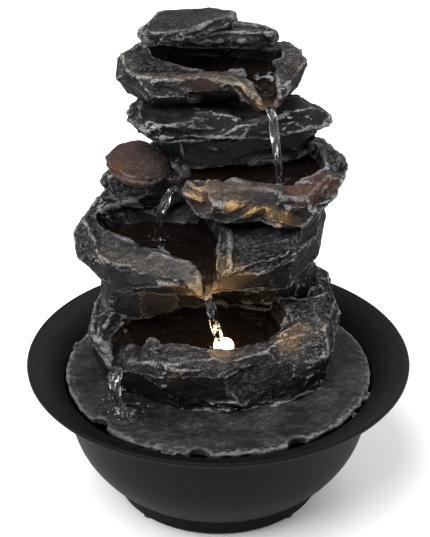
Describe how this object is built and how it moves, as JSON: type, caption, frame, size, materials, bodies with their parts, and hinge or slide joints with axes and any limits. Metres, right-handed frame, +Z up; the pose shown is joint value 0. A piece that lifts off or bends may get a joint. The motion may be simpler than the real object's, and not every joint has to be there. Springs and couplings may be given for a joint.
{
  "type": "tabletop water fountain",
  "caption": "Black bowl with a slate plate and a stack of cast rocks whose four pools spill one into the next; pump and lamp inside.",
  "frame": {"origin": "middle of the bowl on the surface it stands on", "axes": "+Z up, -Y towards the front, where the lowest pool faces, +X to the right seen from the front"},
  "size_m": [0.211, 0.211, 0.258],
  "materials": {
    "bowl_plastic": "fine textured matte black",
    "slate_plate": "dark slate look, brushed and wet in places",
    "cast_rock": "charcoal cast rock with pale dry-brushed ridges",
    "warm_rock": "reddish charcoal cast rock",
    "pump_plastic": "satin black",
    "white_plastic": "satin",
    "soft_rubber": "matte",
    "clear_vinyl": "clear soft tube",
    "lamp_lens": "frosted warm-white lens",
    "shaft_ceramic": "polished",
    "water": "clear moving water"
  },
  "bodies": {
    "bowl": {"bowl": "bowl_plastic", "foot_pad_1": "soft_rubber", "foot_pad_2": "soft_rubber", "foot_pad_3": "soft_rubber", "foot_pad_4": "soft_rubber", "cord_grommet": "soft_rubber", "pump_housing": "pump_plastic", "volute_cover": "pump_plastic", "impeller_shaft": "shaft_ceramic", "suction_cup_1": "soft_rubber", "suction_cup_2": "soft_rubber", "suction_cup_3": "soft_rubber", "suction_cup_4": "soft_rubber"},
    "rockery": {"slate_plate": "slate_plate", "lower_pool_rock": "cast_rock", "lower_spacer_rock": "cast_rock", "middle_pool_rock": "cast_rock", "middle_spacer_rock": "cast_rock", "side_pebble": "warm_rock", "upper_pool_rock": "cast_rock", "upper_spacer_rock": "cast_rock", "upper_slab_rock": "cast_rock", "top_pool_rock": "cast_rock", "rear_cap_rock": "cast_rock", "front_cap_rock": "cast_rock", "riser_tube": "clear_vinyl", "outlet_nozzle": "pump_plastic", "lamp_housing": "pump_plastic", "lamp_lens": "lamp_lens", "lamp_lead": "soft_rubber", "lamp_connector": "pump_plastic", "lead_clip": "pump_plastic"},
    "impeller": {"impeller": "white_plastic"},
    "pump_front": {"intake_cover": "pump_plastic"},
    "flow_dial": {"flow_dial": "white_plastic"}
  },
  "joints": [
    {"name": "rockery_lift", "type": "slide", "parent": "bowl", "child": "rockery", "axis": [0, 0, 1], "range_m": [0, 0.06]},
    {"name": "impeller_spin", "type": "hinge", "parent": "bowl", "child": "impeller", "pos_m": [0, 0.034, 0.0305], "axis": [1, 0, 0], "continuous": true},
    {"name": "intake_cover_pull", "type": "slide", "parent": "bowl", "child": "pump_front", "axis": [-1, 0, 0], "range_m": [0, 0.013]},
    {"name": "flow_dial_turn", "type": "hinge", "parent": "pump_front", "child": "flow_dial", "pos_m": [-0.028, 0.034, 0.0305], "axis": [1, 0, 0], "range_deg": [-45, 0]}
  ]
}
